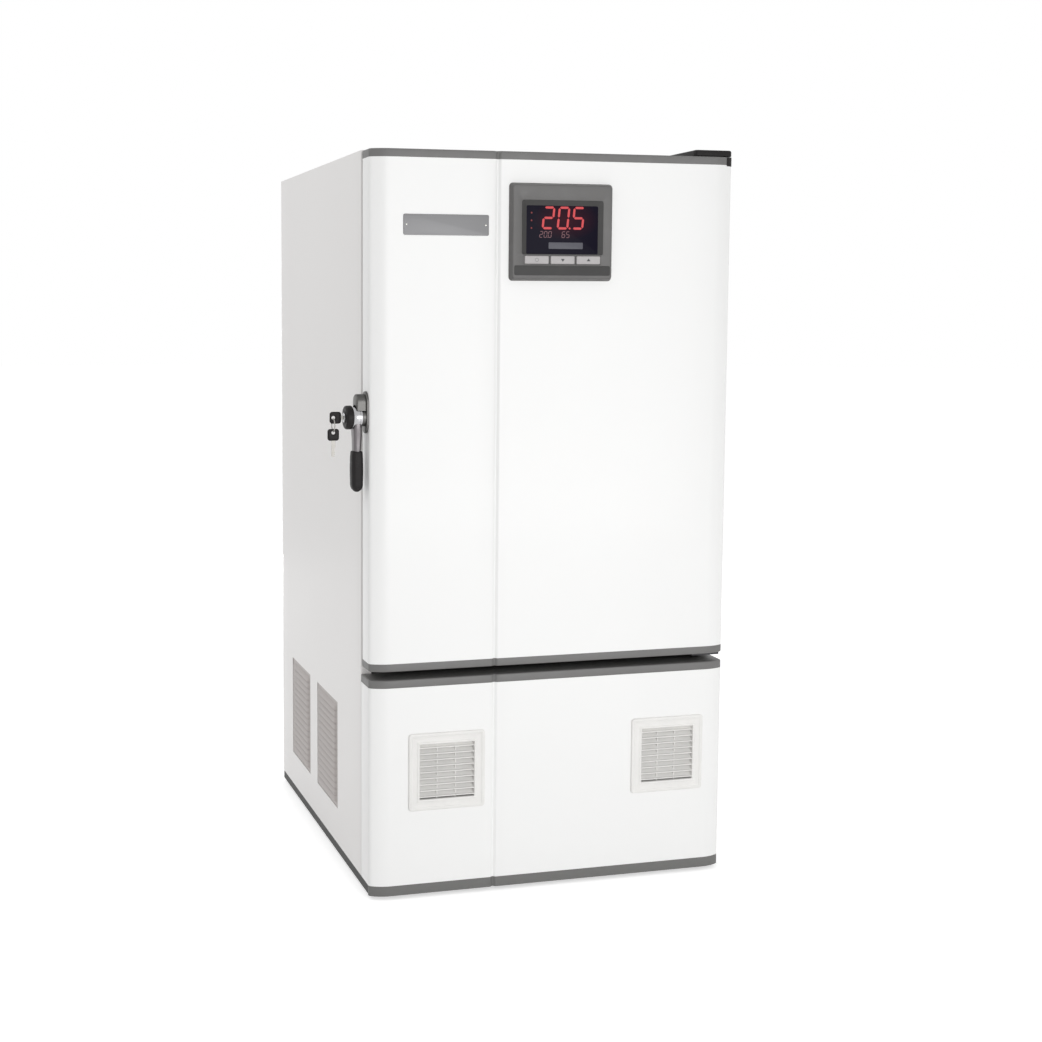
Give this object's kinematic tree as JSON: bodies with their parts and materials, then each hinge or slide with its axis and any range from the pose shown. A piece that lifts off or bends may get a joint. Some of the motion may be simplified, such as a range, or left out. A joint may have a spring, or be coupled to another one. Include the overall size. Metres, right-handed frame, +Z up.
{
  "type": "cooling incubator",
  "caption": "Upright cooling incubator: insulated cabinet over a refrigeration compartment, lever-latched outer door with a display, inner glass door and sliding shelves.",
  "frame": {"origin": "centre of the part's footprint on the floor, between the spare key's tip and the hinge cover across, and between the display's keys and the rear screws from front to back", "axes": "+Z up along the longest extent, +X to the right seen from the front, +Y from the door towards the back"},
  "size_m": [0.7969, 0.816, 1.412],
  "materials": {
    "white_enamel": "smooth stoved enamel",
    "plinth_enamel": "satin grey enamel",
    "rail_enamel": "black enamel",
    "louvre_enamel": "grey enamel, pressed louvres",
    "cap_plastic": "grained grey moulding",
    "vent_plastic": "light grey moulding",
    "bezel_plastic": "satin dark grey moulding",
    "window_plastic": "dark tinted window",
    "key_plastic": "light grey keys",
    "black_plastic": "black moulding",
    "nylon": "natural nylon",
    "fan_plastic": "white moulding",
    "circuit_board": "green solder mask",
    "foam": "rigid polyurethane foam",
    "gasket_rubber": "grey magnetic gasket",
    "foot_rubber": "black rubber",
    "stainless": "brushed stainless sheet",
    "zinc": "bright zinc plate",
    "chrome": "polished chrome",
    "key_steel": "black bow, nickel blade",
    "fins": "aluminium fins",
    "motor_metal": "black enamel",
    "can_enamel": "gloss black enamel",
    "copper": "drawn copper",
    "heater_steel": "dark heater sheath",
    "glass": "clear toughened glass"
  },
  "bodies": {
    "cabinet": {"base_frame": "plinth_enamel", "levelling_feet": "foot_rubber", "side_panel_left": "white_enamel", "side_panel_right": "white_enamel", "top_panel": "white_enamel", "back_panel": "white_enamel", "rear_cover": "white_enamel", "mid_rail": "rail_enamel", "insulation": "foam", "inner_chamber": "stainless", "face_frame": "white_enamel", "lower_panel": "white_enamel", "lower_panel_cap": "cap_plastic", "vent_grilles": "vent_plastic", "side_grilles": "louvre_enamel", "shelf_uprights": "stainless", "shelf_clips": "stainless", "air_duct": "stainless", "evaporator": "fins", "air_fan_motor": "motor_metal", "heater": "heater_steel", "compressor": "can_enamel", "condenser": "fins", "condenser_fan_motor": "motor_metal", "refrigerant_lines": "copper", "drain_pan": "vent_plastic", "control_box": "louvre_enamel", "power_inlet": "black_plastic", "top_hinge": "zinc", "hinge_cover": "black_plastic", "bottom_hinge": "zinc", "inner_hinges": "stainless", "latch_keeper": "zinc", "panel_screws": "zinc"},
    "door": {"door_skin": "white_enamel", "door_top_cap": "cap_plastic", "door_bottom_cap": "cap_plastic", "door_foam": "foam", "door_liner": "white_enamel", "door_gasket": "gasket_rubber", "hinge_bushes": "nylon", "latch_body": "chrome", "display_bezel": "bezel_plastic", "display_window": "window_plastic", "controller_board": "circuit_board"},
    "lever": {"latch_lever": "chrome", "lever_grip": "black_plastic"},
    "lock": {"lock_cylinder": "chrome"},
    "key_in_lock": {"lock_key": "key_steel"},
    "spare": {"spare_key": "key_steel"},
    "set_key": {"key_set": "key_plastic"},
    "down_key": {"key_down": "key_plastic"},
    "up_key": {"key_up": "key_plastic"},
    "inner_door": {"glass_door": "glass", "glass_fittings": "stainless"},
    "lower_shelf": {"shelf_lower": "stainless"},
    "middle_shelf": {"shelf_middle": "stainless"},
    "upper_shelf": {"shelf_upper": "stainless"},
    "air_fan": {"air_fan_blade": "fan_plastic"},
    "condenser_fan": {"condenser_fan_blade": "fan_plastic"}
  },
  "joints": [
    {"name": "door_hinge", "type": "hinge", "parent": "cabinet", "child": "door", "pos_m": [0.37975, -0.3585, 0.9], "axis": [0, 0, 1], "range_deg": [0, 115]},
    {"name": "lever_turn", "type": "hinge", "parent": "door", "child": "lever", "pos_m": [-0.32625, -0.3625, 0.91], "axis": [1, 0, 0], "range_deg": [-70, 0]},
    {"name": "lock_turn", "type": "hinge", "parent": "door", "child": "lock", "pos_m": [-0.32625, -0.3625, 0.91], "axis": [1, 0, 0], "range_deg": [-90, 0]},
    {"name": "key_pull", "type": "slide", "parent": "lock", "child": "key_in_lock", "axis": [-1, 0, 0], "range_m": [0, 0.024]},
    {"name": "spare_key_swing", "type": "hinge", "parent": "key_in_lock", "child": "spare", "pos_m": [-0.38875, -0.3625, 0.9083], "axis": [1, 0, 0], "range_deg": [-30, 30]},
    {"name": "set_key_press", "type": "slide", "parent": "door", "child": "set_key", "axis": [0, 1, 0], "range_m": [0, 0.001], "stiffness_N_per_m": 600},
    {"name": "down_key_press", "type": "slide", "parent": "door", "child": "down_key", "axis": [0, 1, 0], "range_m": [0, 0.001], "stiffness_N_per_m": 600},
    {"name": "up_key_press", "type": "slide", "parent": "door", "child": "up_key", "axis": [0, 1, 0], "range_m": [0, 0.001], "stiffness_N_per_m": 600},
    {"name": "glass_door_hinge", "type": "hinge", "parent": "cabinet", "child": "inner_door", "pos_m": [0.31975, -0.316, 0.9], "axis": [0, 0, 1], "range_deg": [0, 101]},
    {"name": "lower_shelf_slide", "type": "slide", "parent": "cabinet", "child": "lower_shelf", "axis": [0, -1, 0], "range_m": [0, 0.07]},
    {"name": "middle_shelf_slide", "type": "slide", "parent": "cabinet", "child": "middle_shelf", "axis": [0, -1, 0], "range_m": [0, 0.07]},
    {"name": "upper_shelf_slide", "type": "slide", "parent": "cabinet", "child": "upper_shelf", "axis": [0, -1, 0], "range_m": [0, 0.07]},
    {"name": "air_fan_spin", "type": "hinge", "parent": "cabinet", "child": "air_fan", "pos_m": [0.03375, 0.2845, 1.173], "axis": [0, 1, 0], "continuous": true},
    {"name": "condenser_fan_spin", "type": "hinge", "parent": "cabinet", "child": "condenser_fan", "pos_m": [-0.09625, -0.1295, 0.2], "axis": [0, 1, 0], "continuous": true}
  ],
  "couplings": [
    {"joint": "glass_door_hinge", "follows": "door_hinge", "ratio": 0.87}
  ]
}
